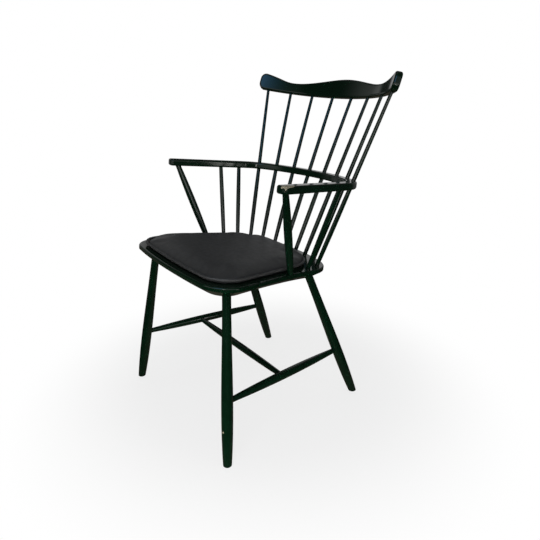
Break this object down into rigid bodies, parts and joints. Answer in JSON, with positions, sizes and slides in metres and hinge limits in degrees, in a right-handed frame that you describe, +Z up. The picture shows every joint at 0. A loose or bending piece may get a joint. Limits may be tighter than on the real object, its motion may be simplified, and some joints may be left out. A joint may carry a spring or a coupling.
{
  "type": "spindle back armchair",
  "caption": "Painted wooden armchair with a turned spindle back, a bent arm bow, a waved crest rail and a loose leather seat pad.",
  "frame": {"origin": "on the floor, in the middle of the chair's box", "axes": "+Z up, -Y the way the sitter looks, +X on the right for someone in front looking at the chair"},
  "size_m": [0.5398, 0.6071, 0.8797],
  "materials": {
    "green_paint": "gloss",
    "black_leather": "satin",
    "foam": "matte"
  },
  "bodies": {
    "chair": {"seat": "green_paint", "leg_front_left": "green_paint", "leg_front_right": "green_paint", "leg_back_left": "green_paint", "leg_back_right": "green_paint", "stretcher_left": "green_paint", "stretcher_right": "green_paint", "stretcher_cross": "green_paint", "back_spindle_1": "green_paint", "back_spindle_2": "green_paint", "back_spindle_3": "green_paint", "back_spindle_4": "green_paint", "back_spindle_5": "green_paint", "back_spindle_6": "green_paint", "back_spindle_7": "green_paint", "back_spindle_8": "green_paint", "arm_post_left": "green_paint", "arm_post_right": "green_paint", "arm_spindle_left_front": "green_paint", "arm_spindle_left_back": "green_paint", "arm_spindle_right_back": "green_paint", "arm_bow": "green_paint", "crest_rail": "green_paint"},
    "cushion": {"cushion_top_cover": "black_leather", "cushion_bottom_cover": "black_leather", "cushion_piping": "black_leather", "cushion_foam": "foam"}
  },
  "joints": [
    {"name": "cushion_lift", "type": "slide", "parent": "chair", "child": "cushion", "axis": [0, 0, 1], "range_m": [0, 0.25]}
  ]
}
